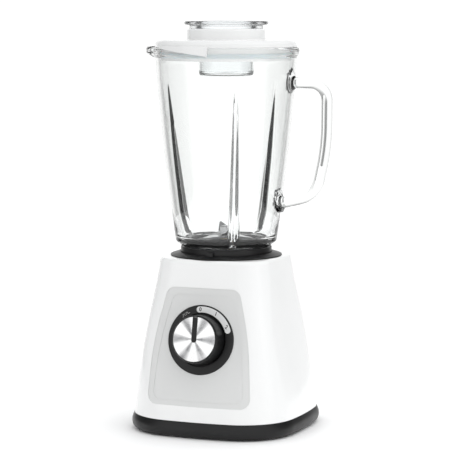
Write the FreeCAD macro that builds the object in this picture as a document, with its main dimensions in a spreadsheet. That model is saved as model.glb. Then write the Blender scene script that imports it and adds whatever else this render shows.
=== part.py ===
"""Countertop blender with a glass jug, built as one parametric document.

Frame: millimetres, +Z up, the jug and motor axis is the Z axis and the worktop is z = 0.
The speed dial faces -Y, the jug's handle is along +X and its spout along -X.
"""
import FreeCAD, Part
import math
import os
import Sketcher

Vector = FreeCAD.Vector
Rotation = FreeCAD.Rotation
Placement = FreeCAD.Placement

SHEET = "Sizes"
X_AXIS = Vector(1, 0, 0)
Y_AXIS = Vector(0, 1, 0)
Z_AXIS = Vector(0, 0, 1)

# The driving dimensions, in millimetres and degrees.
DIMENSIONS = {
    # levels
    "foot_height": 1.5,
    "seam_level": 16.3,
    "waist_level": 55.0,
    "dial_level": 94.3,
    "chest_level": 130.0,
    "shoulder_level": 166.0,
    "deck_level": 170.0,
    "well_level": 162.0,
    "rim_level": 374.6,
    "lid_level": 381.8,
    "overall_height": 400.0,
    # housing plan at each level: half width, bow of its sides, corner radius
    "seam_half": 83.2,
    "seam_bow": 10.0,
    "seam_corner": 52.5,
    "waist_half": 76.2,
    "waist_bow": 6.0,
    "waist_corner": 38.0,
    "dial_half": 68.0,
    "dial_bow": 3.2,
    "dial_corner": 25.0,
    "chest_half": 62.4,
    "chest_bow": 2.8,
    "chest_corner": 26.5,
    "shoulder_half": 57.2,
    "shoulder_bow": 2.4,
    "shoulder_corner": 28.0,
    "shoulder_round": 4.0,
    "housing_wall": 3.0,
    # tray
    "tray_flare": 2.5,
    "tray_tuck": 1.0,
    "tray_wall": 3.0,
    # control panel and dial
    "panel_step": 0.5,
    "panel_thickness": 1.3,
    "panel_border": 6.6,
    "dial_tilt": 11.1,
    "dial_face": 67.3,
    "bezel_radius": 33.7,
    "knob_radius": 24.6,
    "knob_height": 17.5,
    "knob_face_radius": 21.6,
    "pointer_width": 5.0,
    "switch_shaft_radius": 3.0,
    "shaft_clearance": 0.05,
    # motor
    "motor_shaft_radius": 4.0,
    "bearing_radius": 9.5,
    "armature_radius": 18.0,
    "stator_gap": 0.5,
    "stator_half_x": 34.0,
    "stator_half_y": 30.0,
    "stator_bottom": 78.0,
    "stator_top": 116.0,
    "fan_radius": 34.0,
    "screw_radius": 2.0,
    # jug
    "jug_wall": 4.0,
    "jug_rim_radius": 71.7,
    "neck_radius": 41.2,
    "neck_bore": 35.6,
    "spout_reach": 83.5,
    "ring_radius": 44.9,
    "collar_radius": 55.0,
    "carrier_radius": 35.0,
    "blade_shaft_radius": 4.0,
    "coupling_clearance": 0.4,
    # lid and cap
    "lid_radius": 70.0,
    "lid_neck_radius": 38.6,
    "lid_bore": 28.6,
    "cap_flange_radius": 41.2,
    "cup_radius": 27.6,
    # cord gland
    "gland_bore": 3.5,
    "gland_level": 32.0,
}

doc = FreeCAD.newDocument("countertop_blender")
sheet = doc.addObject("Spreadsheet::Sheet", SHEET)
for row, (alias, number) in enumerate(DIMENSIONS.items(), start=1):
    sheet.set(f"A{row}", alias)
    sheet.set(f"B{row}", str(number))
    sheet.setAlias(f"B{row}", alias)
doc.recompute()


# ---------------------------------------------------------------- sizes and placing

class Size:
    """A length that carries its value and the sheet expression that gives it."""

    def __init__(self, value, text):
        self.value = value
        self.text = text

    def _joined(self, sign, other, value):
        return Size(value, f"({self.text} {sign} {as_size(other).text})")

    def __add__(self, other):
        return self._joined("+", other, self.value + as_size(other).value)

    def __sub__(self, other):
        return self._joined("-", other, self.value - as_size(other).value)

    def __mul__(self, other):
        return self._joined("*", other, self.value * as_size(other).value)

    def __truediv__(self, other):
        return self._joined("/", other, self.value / as_size(other).value)

    def __radd__(self, other):
        return as_size(other) + self

    def __rsub__(self, other):
        return as_size(other) - self

    def __rmul__(self, other):
        return as_size(other) * self

    def __neg__(self):
        return as_size(0) - self


def as_size(number):
    if isinstance(number, Size):
        return number
    return Size(float(number), f"({float(number):.6f})")


def dim(alias):
    return Size(float(sheet.get(alias)), f"{SHEET}.{alias}")


def bind(item, prop, size):
    item.setExpression(prop, as_size(size).text)


def put(item, x=0, y=0, z=0, turn=0.0, axis=Z_AXIS):
    """Places an item: a turn about an axis through its own origin, then a shift bound to the sheet."""
    item.Placement = Placement(
        Vector(as_size(x).value, as_size(y).value, as_size(z).value), Rotation(axis, turn)
    )
    for letter, size in (("x", x), ("y", y), ("z", z)):
        bind(item, f"Placement.Base.{letter}", size)
    return item


# ---------------------------------------------------------------- primitives and booleans

def cylinder(label, radius, height, x=0, y=0, z=0, turn=0.0, axis=Z_AXIS):
    item = doc.addObject("Part::Cylinder", label)
    bind(item, "Radius", radius)
    bind(item, "Height", height)
    return put(item, x, y, z, turn, axis)


def box(label, low, high):
    """An upright box between two corners."""
    item = doc.addObject("Part::Box", label)
    for prop, a, b in zip(("Length", "Width", "Height"), low, high):
        bind(item, prop, as_size(b) - a)
    return put(item, *low)


def turned_box(label, length, width, height, x, y, z, turn, axis=Z_AXIS):
    """A box centred on its own X and Y, turned about an axis through its base point."""
    item = doc.addObject("Part::Box", label)
    for prop, size in (("Length", length), ("Width", width), ("Height", height)):
        bind(item, prop, size)
    rotation = Rotation(axis, turn)
    shift = rotation.multVec(Vector(-as_size(length).value / 2, -as_size(width).value / 2, 0))
    return put(item, x + shift.x, y + shift.y, z + shift.z, turn, axis)


def fuse(label, pieces):
    item = doc.addObject("Part::MultiFuse", label)
    item.Shapes = pieces
    return item


def group(label, pieces):
    """Several separate solids of one kind in one node."""
    item = doc.addObject("Part::Compound", label)
    item.Links = pieces
    return item


def cut(label, base, tool):
    item = doc.addObject("Part::Cut", label)
    item.Base = base
    item.Tool = tool
    return item


def common(label, pieces):
    item = doc.addObject("Part::MultiCommon", label)
    item.Shapes = pieces
    return item


# ---------------------------------------------------------------- sketches and bodies

def body_sketch(body, label, role, offset=0):
    """A sketch on one of the body's own origin planes, shifted along that plane's normal."""
    sketch = body.newObject("Sketcher::SketchObject", label)
    plane = [item for item in body.Origin.OriginFeatures if item.Role == role][0]
    sketch.AttachmentSupport = [(plane, "")]
    sketch.MapMode = "FlatFace"
    sketch.AttachmentOffset = Placement(Vector(0, 0, as_size(offset).value), Rotation())
    bind(sketch, "AttachmentOffset.Base.z", offset)
    return sketch


def constrain(sketch, name, size, *where):
    index = sketch.addConstraint(Sketcher.Constraint(name, *where, as_size(size).value))
    bind(sketch, f"Constraints[{index}]", size)


def draw_outline(sketch, points, closed=True):
    """Straight edges through the points; a third number rounds that corner with a tangent arc."""
    count = len(points)
    places = [Vector(as_size(p[0]).value, as_size(p[1]).value, 0) for p in points]
    rounds = [as_size(p[2]).value if len(p) > 2 else 0.0 for p in points]
    starts = list(places)
    ends = list(places)
    arcs = {}
    for i in range(count):
        if not rounds[i]:
            continue
        before = (places[i - 1] - places[i]).normalize()
        after = (places[(i + 1) % count] - places[i]).normalize()
        half = before.getAngle(after) / 2
        along = rounds[i] / math.tan(half)
        ends[i] = places[i] + before * along
        starts[i] = places[i] + after * along
        centre = places[i] + (before + after).normalize() * (rounds[i] / math.sin(half))
        left_turn = before.cross(after).z < 0
        first, last = (ends[i], starts[i]) if left_turn else (starts[i], ends[i])
        low = math.atan2(first.y - centre.y, first.x - centre.x)
        high = math.atan2(last.y - centre.y, last.x - centre.x)
        if high < low:
            high += 2 * math.pi
        arcs[i] = (Part.ArcOfCircle(Part.Circle(centre, Z_AXIS, rounds[i]), low, high), left_turn)

    spans = range(count if closed else count - 1)
    lines = [sketch.addGeometry(Part.LineSegment(starts[i], ends[(i + 1) % count]), False) for i in spans]
    for i in range(count):
        if i in arcs:
            arc_shape, left_turn = arcs[i]
            arc = sketch.addGeometry(arc_shape, False)
            corner = sketch.addGeometry(Part.Point(places[i]), True)
            arc_in, arc_out = (1, 2) if left_turn else (2, 1)
            sketch.addConstraint([
                Sketcher.Constraint("Tangent", lines[i - 1], 2, arc, arc_in),
                Sketcher.Constraint("Tangent", arc, arc_out, lines[i], 1),
                Sketcher.Constraint("PointOnObject", corner, 1, lines[i - 1]),
                Sketcher.Constraint("PointOnObject", corner, 1, lines[i]),
            ])
            constrain(sketch, "Radius", points[i][2], arc)
            held = (corner, 1)
        elif closed or 0 < i < count - 1:
            sketch.addConstraint(Sketcher.Constraint("Coincident", lines[i - 1], 2, lines[i], 1))
            held = (lines[i], 1)
        else:
            held = (lines[0], 1) if i == 0 else (lines[-1], 2)
        constrain(sketch, "DistanceX", points[i][0], -1, 1, *held)
        constrain(sketch, "DistanceY", points[i][1], -1, 1, *held)
    return sketch


def turned(label, points):
    """A body turned about its own Z axis; each point is a radius and a height."""
    body = doc.addObject("PartDesign::Body", label)
    sketch = draw_outline(body_sketch(body, f"{label}_profile", "XZ_Plane"), points)
    revolution = body.newObject("PartDesign::Revolution", f"{label}_turned")
    revolution.Profile = sketch
    revolution.ReferenceAxis = (sketch, ["V_Axis"])
    revolution.Angle = 360.0
    return body


def prism(label, role, points, low, height, midplane=False):
    """A body padded from an outline on one of its origin planes."""
    body = doc.addObject("PartDesign::Body", label)
    sketch = draw_outline(body_sketch(body, f"{label}_outline", role, low), points)
    pad = body.newObject("PartDesign::Pad", f"{label}_pad")
    pad.Profile = sketch
    pad.Midplane = midplane
    bind(pad, "Length", height)
    return body


def draw_bowed_square(sketch, half, bow, corner):
    """A square whose sides bow outwards, with round corners: eight tangent arcs."""
    half, bow, corner = as_size(half), as_size(bow), as_size(corner)
    side_radius = (half * half + bow * bow) / (bow * 2)
    set_back = side_radius - half
    shift = set_back.value
    reach = side_radius.value - corner.value
    place = (math.sqrt(2 * reach * reach - shift * shift) - shift) / 2
    spread = math.atan2(place, place + shift)
    arcs = []
    for quarter in range(4):
        facing = quarter * math.pi / 2
        ahead = Vector(math.cos(facing), math.sin(facing), 0)
        aside = Vector(-ahead.y, ahead.x, 0)
        side = Part.Circle(ahead * -shift, Z_AXIS, side_radius.value)
        arcs.append(Part.ArcOfCircle(side, facing - spread, facing + spread))
        bend = Part.Circle((ahead + aside) * place, Z_AXIS, corner.value)
        arcs.append(Part.ArcOfCircle(bend, facing + spread, facing + math.pi / 2 - spread))
    sketch.addGeometry(arcs, False)
    for i in range(8):
        sketch.addConstraint(Sketcher.Constraint("Tangent", i, 2, (i + 1) % 8, 1))
    for quarter in range(4):
        side, bend = 2 * quarter, 2 * quarter + 1
        constrain(sketch, "Radius", side_radius, side)
        constrain(sketch, "Radius", corner, bend)
        along, across = ("DistanceX", "DistanceY") if quarter % 2 == 0 else ("DistanceY", "DistanceX")
        constrain(sketch, along, -set_back if quarter < 2 else set_back, -1, 1, side, 3)
        constrain(sketch, across, 0, -1, 1, side, 3)
    return sketch


def bowed_loft(body, label, sections):
    """Lofts a body through bowed squares, each given as height, half width, bow and corner."""
    sketches = []
    for i, (height, half, bow, corner) in enumerate(sections):
        sketch = body_sketch(body, f"{label}_{i}", "XY_Plane", height)
        sketches.append(draw_bowed_square(sketch, half, bow, corner))
    loft = body.newObject("PartDesign::AdditiveLoft", f"{label}_loft")
    loft.Profile = sketches[0]
    loft.Sections = sketches[1:]
    loft.Ruled = False
    return loft


# ---------------------------------------------------------------- housing

STATIONS = ("seam", "waist", "dial", "chest", "shoulder")


def housing_sections(inset, top=None):
    """The housing's plan at each station, drawn in by an inset measured square to the sides."""
    sections = []
    for station in STATIONS:
        level = dim(f"{station}_level")
        if station == "shoulder" and top is not None:
            level = top
        half = dim(f"{station}_half") - inset
        corner = dim(f"{station}_corner") - inset
        sections.append((level, half, dim(f"{station}_bow"), corner))
    return sections


def housing_form(label, inset, top=None):
    body = doc.addObject("PartDesign::Body", label)
    bowed_loft(body, label, housing_sections(inset, top))
    return body


def rounded_housing_form(label):
    """The outer form: the lofted sides, then a quarter-round shoulder up to the flat deck."""
    body = housing_form(label, 0)
    steps = 4
    sections = []
    for step in range(steps + 1):
        angle = math.radians(90 * step / steps)
        inset = dim("shoulder_round") * (1 - math.cos(angle))
        level = dim("shoulder_level") + dim("shoulder_round") * math.sin(angle)
        sections.append((
            level, dim("shoulder_half") - inset, dim("shoulder_bow"), dim("shoulder_corner") - inset
        ))
    bowed_loft(body, f"{label}_shoulder", sections)
    return body


PANEL_OUTLINE = (
    (37.0, 143.9, 10), (49.7, 92.0, 300), (53.7, 31.0, 9),
    (-53.7, 31.0, 9), (-49.7, 92.0, 300), (-37.0, 143.9, 10),
)
PANEL_LOW_SHARE = 0.7
PANEL_ROUND_SHARE = 0.3


def panel_prism(label, inset):
    """The control panel's outline, drawn in by an inset, pushed through the housing's front."""
    points = []
    for x, level, radius in PANEL_OUTLINE:
        side = 1 if x > 0 else -1
        shift = -1 if level > 100 else (PANEL_LOW_SHARE if level < 60 else 0)
        bend = radius - inset * PANEL_ROUND_SHARE if radius < 100 else radius
        points.append((x - side * as_size(inset), level + shift * as_size(inset), bend))
    return prism(label, "XZ_Plane", points, 20, 100)


def dial_placed(item):
    """Moves an item built around a local Z axis onto the tilted dial axis."""
    tilt = dim("dial_tilt").value
    return put(item, 0, -dim("dial_face"), dim("dial_level"), 90 - tilt, X_AXIS)


def dial_tool(label, radius, low, height):
    """A cylinder along the dial's axis, from a depth behind the bezel's face."""
    body = turned(label, ((0, low), (radius, low), (radius, low + height), (0, low + height)))
    return dial_placed(body)


BOSS_PLACE = 55.0
BOSS_PLACES = [(sx * BOSS_PLACE, sy * BOSS_PLACE) for sx in (-1, 1) for sy in (-1, 1)]


def gland_cylinder(label, radius, start, length):
    """A cylinder along +Y on the cord gland's axis."""
    return cylinder(label, radius, length, 0, start, dim("gland_level"), -90, X_AXIS)


def build_housing():
    wall = dim("housing_wall")
    outer = rounded_housing_form("housing_outer")
    cavity = housing_form("housing_cavity", wall, dim("deck_level") - wall)
    shell = cut("housing_shell", outer, cavity)
    bosses = [
        cylinder(f"housing_boss_{i}", 5.0, 72.0, x, y, dim("seam_level"))
        for i, (x, y) in enumerate(BOSS_PLACES)
    ]
    gland_seat = common("gland_seat", [
        gland_cylinder("gland_seat_blank", 12.0, 72.0, 20.0),
        housing_form("gland_seat_limit", 0.2),
    ])
    solid = fuse("housing_solid", [shell, gland_seat] + bosses)
    pilot_holes = [
        cylinder(f"boss_pilot_{i}", 1.6, 20.0, x, y, dim("seam_level"))
        for i, (x, y) in enumerate(BOSS_PLACES)
    ]
    recess = cut("panel_recess", panel_prism("panel_recess_blank", 0),
                 housing_form("panel_recess_floor", dim("panel_step") + dim("panel_thickness")))
    tools = fuse("housing_tools", [
        recess,
        cylinder("collar_hole", 48.0, 20.0, 0, 0, dim("deck_level") - 10),
        dial_tool("dial_hole", dim("bezel_radius") + 0.2, -14.0, 30.0),
        gland_cylinder("gland_hole", 6.2, 60.0, 40.0),
        gland_cylinder("gland_counterbore", 8.8, 79.0, 10.0),
    ] + pilot_holes)
    return cut("base_housing", solid, tools)


def build_control_panel():
    step = dim("panel_step")
    border = dim("panel_border")
    skin = cut("panel_skin", housing_form("panel_face", step),
               housing_form("panel_back", step + dim("panel_thickness")))
    blank = common("panel_blank", [skin, panel_prism("panel_outline", 0)])
    field = cut("panel_field", panel_prism("panel_field_blank", border),
                housing_form("panel_field_floor", step + 0.4))
    tools = fuse("panel_tools", [
        field, dial_tool("panel_dial_hole", dim("bezel_radius") + 0.2, -14.0, 30.0)
    ])
    return cut("control_panel", blank, tools)


def build_jug_collar():
    deck = dim("deck_level")
    well = dim("well_level")
    ring = dim("ring_radius")
    floor = well - 3
    outline = (
        (ring + 0.4, deck + 3.6, 0.5), (ring + 0.4, well), (17.5, well), (17.5, floor),
        (47.8, floor), (47.8, deck), (dim("collar_radius"), deck),
        (dim("collar_radius"), deck + 0.9, 0.4), (ring + 1.9, deck + 3.6, 0.8),
    )
    blank = turned("collar_blank", outline)
    guide = cylinder("pin_guide", 7.5, 15.0, 0, PIN_PLACE, floor - 15)
    lug = box("lock_lug", (-1.6, -(ring + 3.4), deck + 1.5), (4.9, -(ring + 0.5), deck + 6.6))
    solid = fuse("collar_solid", [blank, guide, lug])
    tools = fuse("collar_tools", [
        cylinder("pin_hole", PIN_RADIUS + dim("shaft_clearance"), 30.0, 0, PIN_PLACE, floor - 20),
        cylinder("pin_guide_bore", 5.2, 13.0, 0, PIN_PLACE, floor - 13),
    ])
    return cut("jug_collar", solid, tools)


# ---------------------------------------------------------------- tray, feet and gland

MOUNT_PLACES = [(sx * 42.0, sy * 26.0) for sx in (-1, 1) for sy in (-1, 1)]
FOOT_PLACES = [(sx * 66.0, sy * 40.0) for sx in (-1, 1) for sy in (-1, 1)]
FOOT_RADIUS = 9.0


def tray_sections(inset, low):
    """The tray flares out below the seam, then tucks in to its flat underside."""
    half = dim("seam_half")
    flare = dim("tray_flare")
    bow = dim("seam_bow")
    corner = dim("seam_corner")
    underside = dim("foot_height")
    stations = (
        (underside, -dim("tray_tuck")), (underside + 2.6, flare * 0.62), (underside + 7.4, flare),
        (underside + 11.2, flare * 0.7), (dim("seam_level"), as_size(0.1)),
    )
    sections = []
    for level, growth in stations:
        if level.value < low.value:
            continue
        sections.append((level, half + growth - inset, bow, corner + growth - inset))
    return sections


def build_bottom_tray():
    underside = dim("foot_height")
    wall = dim("tray_wall")
    floor = underside + wall
    body = doc.addObject("PartDesign::Body", "tray_outer")
    bowed_loft(body, "tray_outer", tray_sections(0, underside))
    hollow = doc.addObject("PartDesign::Body", "tray_hollow")
    inner = tray_sections(wall, underside + 2)
    inner[0] = (floor,) + inner[0][1:]
    bowed_loft(hollow, "tray_hollow", inner)
    shell = cut("tray_shell", body, hollow)
    posts = [
        cylinder(f"tray_post_{i}", 7.0, 36.0 - floor, x, y, floor)
        for i, (x, y) in enumerate(MOUNT_PLACES)
    ]
    sleeves = [
        cylinder(f"tray_sleeve_{i}", 5.0, dim("seam_level") - floor, x, y, floor)
        for i, (x, y) in enumerate(BOSS_PLACES)
    ]
    solid = fuse("tray_solid", [shell] + posts + sleeves)
    tools = []
    for i, (x, y) in enumerate(FOOT_PLACES):
        tools.append(cylinder(f"foot_pocket_{i}", FOOT_RADIUS + 0.2, 1.8, x, y, underside))
    for i, (x, y) in enumerate(MOUNT_PLACES):
        tools.append(cylinder(f"post_pilot_{i}", 1.6, 22.0, x, y, 15.0))
    for i, (x, y) in enumerate(BOSS_PLACES):
        tools.append(cylinder(f"base_screw_way_{i}", 2.2, 20.0, x, y, 0))
        tools.append(cylinder(f"base_screw_well_{i}", 4.0, 8.0, x, y, 0))
    for i in range(12):
        angle = math.radians(30 * i + 15)
        x, y = 24 * math.cos(angle), 24 * math.sin(angle)
        tools.append(turned_box(f"vent_slot_{i}", 20.0, 3.0, 10.0, x, y, 0, 30 * i + 15))
    return cut("bottom_tray", solid, fuse("tray_tools", tools))


def build_rubber_feet():
    feet = []
    for i, (x, y) in enumerate(FOOT_PLACES):
        foot = turned(f"foot_{i}", (
            (0, 0), (FOOT_RADIUS - 0.8, 0), (FOOT_RADIUS, 0.8), (FOOT_RADIUS, 3.3), (0, 3.3)
        ))
        feet.append(put(foot, x, y, 0))
    return group("rubber_feet", feet)


def build_base_screws():
    screws = []
    for i, (x, y) in enumerate(BOSS_PLACES):
        screw = turned(f"base_screw_{i}", (
            (0, 7.0), (1.2, 7.0), (3.4, 5.6), (3.4, 8.0), (1.6, 8.0), (1.6, 34.0), (0, 36.0),
        ))
        screws.append(put(screw, x, y, 0))
    return group("base_screws", screws)


def build_cord_gland():
    """A rubber bush in the housing's back wall; its bore takes a 7 mm flex."""
    bore = dim("gland_bore")
    bush = turned("gland_bush", (
        (bore, 0, 0.8), (bore, 15.0, 0.8), (8.5, 15.0, 1.5), (8.5, 11.0), (6.1, 11.0), (6.1, 4.0),
        (7.4, 4.0), (7.4, 2.0), (6.1, 0.0),
    ))
    bush.Label = "cord_gland"
    return put(bush, 0, 68.0, dim("gland_level"), -90, X_AXIS)


# ---------------------------------------------------------------- dial and switch

def dial_sector(label, inner, outer, start, end, low, height):
    """A band around the dial's axis between two clock angles, with round ends."""
    middle = (inner + outer) / 2
    half = (outer - inner) / 2
    ring = turned(f"{label}_ring", (
        (inner, low), (outer, low), (outer, low + height), (inner, low + height)
    ))
    far = 3 * outer
    wedge_points = [(0, 0)]
    for clock in (start, (start + end) / 2, end):
        angle = math.radians(90 - clock)
        wedge_points.append((far * math.cos(angle), far * math.sin(angle)))
    wedge = prism(f"{label}_wedge", "XY_Plane", wedge_points[:1] + wedge_points[:0:-1], low, height)
    band = common(f"{label}_band", [ring, wedge])
    ends = []
    for i, clock in enumerate((start, end)):
        angle = math.radians(90 - clock)
        x, y = middle * math.cos(angle), middle * math.sin(angle)
        ends.append(cylinder(f"{label}_end_{i}", half, height, x, y, low))
    return fuse(label, [band] + ends)


def build_dial_bezel():
    outer = dim("bezel_radius")
    bezel = turned("dial_bezel", (
        (outer, -7.0), (outer, 0.8, 0.5), (outer - 8.0, 0.8, 0.5), (outer - 8.0, -2.6), (5.4, -2.6),
        (5.4, -5.0), (outer - 4.0, -5.0), (outer - 4.0, -7.0),
    ))
    return dial_placed(bezel)


def build_scale_strip():
    strip = dial_sector("scale_strip", 26.6, 32.4, -6.0, 69.0, 0.8, 0.35)
    return dial_placed(strip)


def build_knob_body():
    radius = dim("knob_radius")
    face = dim("knob_face_radius") + 0.05
    top = dim("knob_height")
    turned_knob = turned("knob_turned", (
        (radius, -1.6), (radius, 0.6, 0.4), (radius - 1.4, top - 1.6, 1.4), (radius - 2.2, top - 0.2, 0.5),
        (face, top - 0.2), (face, top - 1.0), (0, top - 1.0), (0, -1.0), (8.0, -1.0),
        (8.0, 12.5, 1.0), (radius - 3.6, 12.5, 1.0), (radius - 2.6, -1.6),
    ))
    shaft_way = cylinder("knob_shaft_way", dim("switch_shaft_radius"), 12.0, 0, 0, -1.0)
    return dial_placed(cut("knob_body", turned_knob, shaft_way))


def pointer_outline(grow):
    half = dim("pointer_width") / 2 + grow
    top = dim("knob_face_radius") - 0.35 + grow
    return ((half, top), (-half, top), (-half, -3.2 - as_size(grow), 2.3), (half, -3.2 - as_size(grow), 2.3))


def build_knob_face():
    top = dim("knob_height")
    radius = dim("knob_face_radius")
    disc = turned("face_disc", ((0, top - 1.0), (radius, top - 1.0), (radius, top, 0.3), (0, top)))
    slot = prism("face_slot", "XY_Plane", pointer_outline(0.05), top - 2.0, 4.0)
    return dial_placed(cut("knob_face", disc, slot))


def build_knob_pointer():
    bar = prism("knob_pointer", "XY_Plane", pointer_outline(0), dim("knob_height") - 1.0, 1.5)
    return dial_placed(bar)


def build_switch_shaft():
    radius = dim("switch_shaft_radius")
    shaft = turned("switch_shaft", ((0, -28.0), (radius, -28.0), (radius, 11.0), (0, 11.0)))
    return dial_placed(shaft)


def build_speed_switch():
    bore = dim("switch_shaft_radius") + dim("shaft_clearance")
    case = box("switch_case", (-15, -14, -31.0), (15, 14, -10.0))
    bush = cylinder("switch_bush", 5.2, 8.0, 0, 0, -10.5)
    way = cylinder("switch_way", bore, 35.0, 0, 0, -29.0)
    return dial_placed(cut("speed_switch", fuse("switch_solid", [case, bush]), way))


def build_switch_terminals():
    tabs = [
        box(f"terminal_{i}", (x - 2.4, -0.4, -36.5), (x + 2.4, 0.4, -31.0))
        for i, x in enumerate((-11.0, -3.7, 3.7, 11.0))
    ]
    return dial_placed(group("switch_terminals", tabs))


# ---------------------------------------------------------------- motor

BRACKET_SCREWS = [(sx * 30.5, sy * 26.0) for sx in (-1, 1) for sy in (-1, 1)]
BRUSH_LEVEL = 58.0


def drill(label, places, radius, low, height):
    return [cylinder(f"{label}_{i}", radius, height, x, y, low) for i, (x, y) in enumerate(places)]


def build_stator_core():
    low, high = dim("stator_bottom"), dim("stator_top")
    half_x, half_y = dim("stator_half_x"), dim("stator_half_y")
    blank = prism("stator_blank", "XY_Plane", (
        (half_x, half_y, 8.0), (-half_x, half_y, 8.0), (-half_x, -half_y, 8.0), (half_x, -half_y, 8.0)
    ), low, high - low)
    tools = [cylinder("stator_bore", dim("armature_radius") + dim("stator_gap"), 80.0, 0, 0, 60.0)]
    for i, (sx, sy) in enumerate(((-1, -1), (-1, 1), (1, -1), (1, 1))):
        low_x, high_x = sorted((sx * 15.0, sx * 24.5))
        low_y, high_y = sorted((sy * 18.0, sy * 25.0))
        tools.append(box(f"coil_window_{i}", (low_x, low_y, 60.0), (high_x, high_y, 140.0)))
    tools += drill("stator_screw_way", BRACKET_SCREWS, dim("screw_radius"), 60.0, 80.0)
    return cut("stator_core", blank, fuse("stator_tools", tools))


def build_stator_coils():
    coils = []
    for i, side in enumerate((-1, 1)):
        low_y, high_y = sorted((side * 18.2, side * 24.8))
        low, high = dim("stator_bottom") - 8, dim("stator_top") + 8
        loop = box(f"coil_loop_{i}", (-24.3, low_y, low), (24.3, high_y, high))
        eye = box(f"coil_eye_{i}", (-15.2, low_y - 1, low + 7.8), (15.2, high_y + 1, high - 7.8))
        coils.append(cut(f"coil_{i}", loop, eye))
    return group("stator_coils", coils)


def build_bracket(label, level, post_low, post_high, reach, extra_holes):
    """A pressed motor bracket: a plate with a bearing seat and four posts to the stator."""
    bearing = dim("bearing_radius")
    plate = prism(f"{label}_plate", "XY_Plane", (
        (reach, 33.0, 6.0), (-reach, 33.0, 6.0), (-reach, -33.0, 6.0), (reach, -33.0, 6.0)
    ), level, 4.0)
    seat = cylinder(f"{label}_seat", bearing + 3, 8.0, 0, 0, level - 1)
    posts = drill(f"{label}_post", BRACKET_SCREWS, 3.4, post_low, post_high - post_low)
    solid = fuse(f"{label}_solid", [plate, seat] + posts)
    tools = [cylinder(f"{label}_bore", bearing, 30.0, 0, 0, level - 10)]
    tools += drill(f"{label}_screw_way", BRACKET_SCREWS, dim("screw_radius"), level - 60, 160.0)
    tools += drill(f"{label}_hole", extra_holes, dim("screw_radius"), level - 10, 20.0)
    for i, side in enumerate((-1, 1)):
        low_y, high_y = sorted((side * 15.0, side * 24.0))
        tools.append(box(f"{label}_window_{i}", (-18.0, low_y, level - 2), (18.0, high_y, level + 6)))
    return cut(label, solid, fuse(f"{label}_tools", tools))


BOTTOM_BRACKET_LEVEL = 42.0
TOP_BRACKET_LEVEL = 126.0


def build_motor_bracket_bottom():
    return build_bracket("motor_bracket_bottom", BOTTOM_BRACKET_LEVEL, BOTTOM_BRACKET_LEVEL + 3.0,
                         dim("stator_bottom"), 49.0, MOUNT_PLACES)


def build_motor_bracket_top():
    return build_bracket("motor_bracket_top", TOP_BRACKET_LEVEL, dim("stator_top"),
                         TOP_BRACKET_LEVEL + 1.0, 37.0, [])


def build_bearing(label, low):
    """A small ball bearing: two rings with a row of balls and a cage between them."""
    bore = dim("motor_shaft_radius") + dim("shaft_clearance")
    outer = dim("bearing_radius")
    ring = turned(label, (
        (bore, 0, 0.3), (bore + 1.7, 0), (bore + 1.7, 0.8), (outer - 1.5, 0.8), (outer - 1.5, 0),
        (outer, 0, 0.3), (outer, 6.0, 0.3), (outer - 1.5, 6.0), (outer - 1.5, 5.2),
        (bore + 1.7, 5.2), (bore + 1.7, 6.0), (bore, 6.0, 0.3),
    ))
    return put(ring, 0, 0, low)


def build_motor_mounts():
    mounts = []
    for i, (x, y) in enumerate(MOUNT_PLACES):
        bush = turned(f"motor_mount_{i}", (
            (2.0, 0), (6.5, 0), (6.5, 2.0, 0.4), (5.2, 3.0, 0.4), (6.5, 4.0, 0.4), (6.5, 6.0), (2.0, 6.0)
        ))
        mounts.append(put(bush, x, y, 36.0))
    return group("motor_mounts", mounts)


def pan_screw(label, x, y, seat_level, length, radius=None):
    """A pan-head screw pointing down from the level that its head sits on."""
    radius = dim("screw_radius") if radius is None else radius
    screw = turned(label, (
        (0, -length), (radius - 0.6, -length), (radius, -length + 1.5), (radius, 0), (radius + 1.8, 0),
        (radius + 1.8, 1.4, 0.8), (radius, 2.2, 0.6), (0, 2.2),
    ))
    return put(screw, x, y, seat_level)


def build_mount_screws():
    return group("mount_screws", [
        pan_screw(f"mount_screw_{i}", x, y, BOTTOM_BRACKET_LEVEL + 4, 28.0, 1.6)
        for i, (x, y) in enumerate(MOUNT_PLACES)
    ])


def build_motor_screws():
    return group("motor_screws", [
        pan_screw(f"motor_screw_{i}", x, y, TOP_BRACKET_LEVEL + 4, 92.0)
        for i, (x, y) in enumerate(BRACKET_SCREWS)
    ])


def mirrored_boxes(label, low, high):
    """Two boxes on the brushes' line, one each side of the commutator."""
    right = box(f"{label}_0", low, high)
    left_low = (-as_size(high[0]), low[1], low[2])
    left_high = (-as_size(low[0]), high[1], high[2])
    left = box(f"{label}_1", left_low, left_high)
    return [right, left]


def build_brush_holders():
    foot = BOTTOM_BRACKET_LEVEL + 4
    bodies = mirrored_boxes("brush_holder", (14.0, -5.5, foot), (31.0, 5.5, BRUSH_LEVEL + 6))
    ways = mirrored_boxes("brush_way", (10.0, -3.1, BRUSH_LEVEL - 4.1), (29.0, 3.1, BRUSH_LEVEL + 4.1))
    return group("brush_holders", [
        cut(f"brush_holder_cut_{i}", bodies[i], ways[i]) for i in range(2)
    ])


def build_carbon_brushes():
    gap = 11.0 + 0.3
    return group("carbon_brushes", mirrored_boxes(
        "carbon_brush", (gap, -3.0, BRUSH_LEVEL - 4.0), (23.0, 3.0, BRUSH_LEVEL + 4.0)))


def build_brush_springs():
    springs = []
    for i, side in enumerate((-1, 1)):
        start = 23.0 if side > 0 else -29.0
        tube = cylinder(f"spring_tube_{i}", 2.6, 6.0, start, 0, BRUSH_LEVEL, 90, Y_AXIS)
        core = cylinder(f"spring_core_{i}", 1.9, 8.0, start - 1, 0, BRUSH_LEVEL, 90, Y_AXIS)
        springs.append(cut(f"brush_spring_{i}", tube, core))
    return group("brush_springs", springs)


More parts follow.
